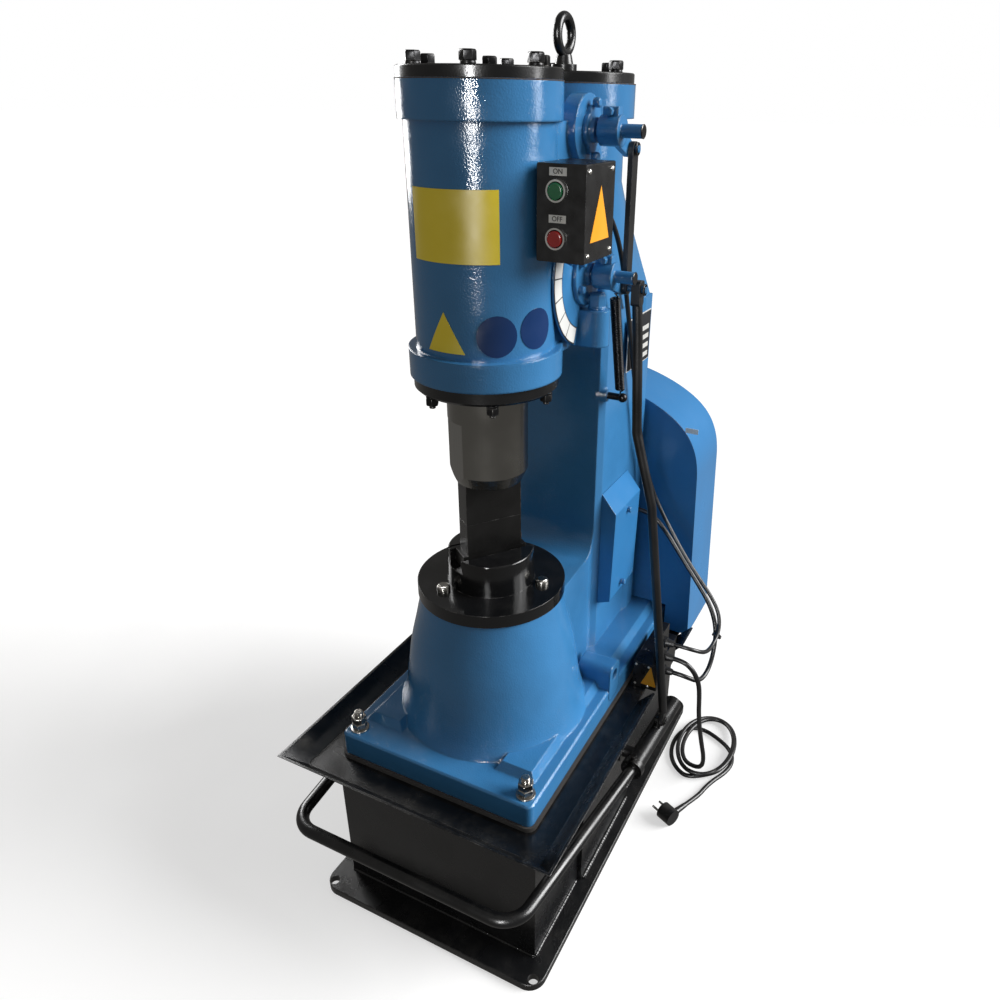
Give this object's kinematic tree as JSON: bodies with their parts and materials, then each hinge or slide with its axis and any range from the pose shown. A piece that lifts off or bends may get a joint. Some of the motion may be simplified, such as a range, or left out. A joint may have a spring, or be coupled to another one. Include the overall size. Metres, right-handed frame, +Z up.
{
  "type": "self-contained pneumatic forging hammer",
  "caption": "Floor-standing pneumatic power hammer on a welded stand, with a sliding ram, flat dies, foot treadle, valve linkage, push-button station and belt guard.",
  "frame": {"origin": "centre of the four floor holes, on the underside of the stand's bottom plate", "axes": "+Z up; +Y from the ram side towards the belt guard; +X towards the valve levers and the push-button station"},
  "size_m": [0.6635, 0.866, 1.4485],
  "materials": {
    "black_steel": "semi-gloss black paint",
    "black_rubber": "matt",
    "blue_casting": "gloss blue paint over a rough casting",
    "blue_sheet": "gloss blue paint on sheet steel",
    "dark_iron": "oiled black",
    "die_steel": "ground and blued",
    "bright_steel": "ground and oiled",
    "spring_steel": "blackened",
    "black_enclosure": "fine textured black",
    "green_plastic": "gloss",
    "red_plastic": "gloss",
    "bezel_chrome": "satin",
    "motor_housing": "cast",
    "black_plastic": "matt",
    "cable_rubber": "satin"
  },
  "bodies": {
    "frame": {"bottom_plate": "black_steel", "pedestal": "black_steel", "pivot_plates": "black_steel", "tray": "black_steel", "damping_pad": "black_rubber", "frame_casting": "blue_casting", "side_cover": "blue_sheet", "ram_cylinder_cover": "black_steel", "pump_cylinder_cover": "black_steel", "lifting_eye": "black_steel", "gland_ring": "black_steel", "anvil_cap": "dark_iron", "lower_die": "die_steel", "die_key": "die_steel", "valve_covers": "blue_casting", "passage_plug": "blue_casting", "return_spring": "spring_steel", "spring_peg": "black_steel", "control_box": "black_enclosure", "button_bezels": "bezel_chrome", "bearing_plate": "blue_casting", "motor": "motor_housing", "belt_guard": "blue_sheet", "switch_box": "black_enclosure", "cable_glands": "black_plastic", "control_cable": "cable_rubber", "motor_cable": "cable_rubber", "mains_lead": "cable_rubber", "mains_coil": "cable_rubber", "mains_tail": "cable_rubber", "mains_plug": "black_plastic"},
    "ram": {"ram": "bright_steel", "upper_die": "die_steel"},
    "treadle": {"treadle": "black_steel"},
    "operating_rod": {"operating_rod": "black_steel"},
    "lower_lever": {"lower_lever": "blue_casting"},
    "link_bar": {"link_bar": "black_steel"},
    "upper_lever": {"upper_lever": "blue_casting"},
    "start_button": {"start_button": "green_plastic"},
    "stop_button": {"stop_button": "red_plastic"}
  },
  "joints": [
    {"name": "ram_slide", "type": "slide", "parent": "frame", "child": "ram", "axis": [0, 0, 1], "range_m": [0, 0.12]},
    {"name": "treadle_pivot", "type": "hinge", "parent": "frame", "child": "treadle", "pos_m": [0, -0.038, 0.232], "axis": [1, 0, 0], "range_deg": [0, 10], "stiffness_Nm_per_rad": 25, "springref_deg": -22.92},
    {"name": "rod_bottom_pivot", "type": "hinge", "parent": "treadle", "child": "operating_rod", "pos_m": [0.264, 0.042, 0.26], "axis": [1, 0, 0], "range_deg": [-12, 0]},
    {"name": "lower_lever_pivot", "type": "hinge", "parent": "frame", "child": "lower_lever", "pos_m": [0.13, -0.023, 1.109], "axis": [1, 0, 0], "range_deg": [0, 19], "deforming": ["return_spring"]},
    {"name": "link_bottom_pivot", "type": "hinge", "parent": "lower_lever", "child": "link_bar", "pos_m": [0.155, 0.019, 1.085], "axis": [1, 0, 0], "range_deg": [-19, 0]},
    {"name": "upper_lever_pivot", "type": "hinge", "parent": "frame", "child": "upper_lever", "pos_m": [0.13, -0.023, 1.303], "axis": [1, 0, 0], "range_deg": [0, 19]},
    {"name": "start_push", "type": "slide", "parent": "frame", "child": "start_button", "axis": [0, 1, 0], "range_m": [0, 0.003], "stiffness_N_per_m": 600, "springref_m": -0.0015},
    {"name": "stop_push", "type": "slide", "parent": "frame", "child": "stop_button", "axis": [0, 1, 0], "range_m": [0, 0.003], "stiffness_N_per_m": 600, "springref_m": -0.0015}
  ],
  "couplings": [
    {"joint": "rod_bottom_pivot", "follows": "treadle_pivot", "ratio": -1.0755},
    {"joint": "lower_lever_pivot", "follows": "treadle_pivot", "ratio": 1.72},
    {"joint": "link_bottom_pivot", "follows": "treadle_pivot", "ratio": -1.72},
    {"joint": "upper_lever_pivot", "follows": "treadle_pivot", "ratio": 1.72}
  ]
}
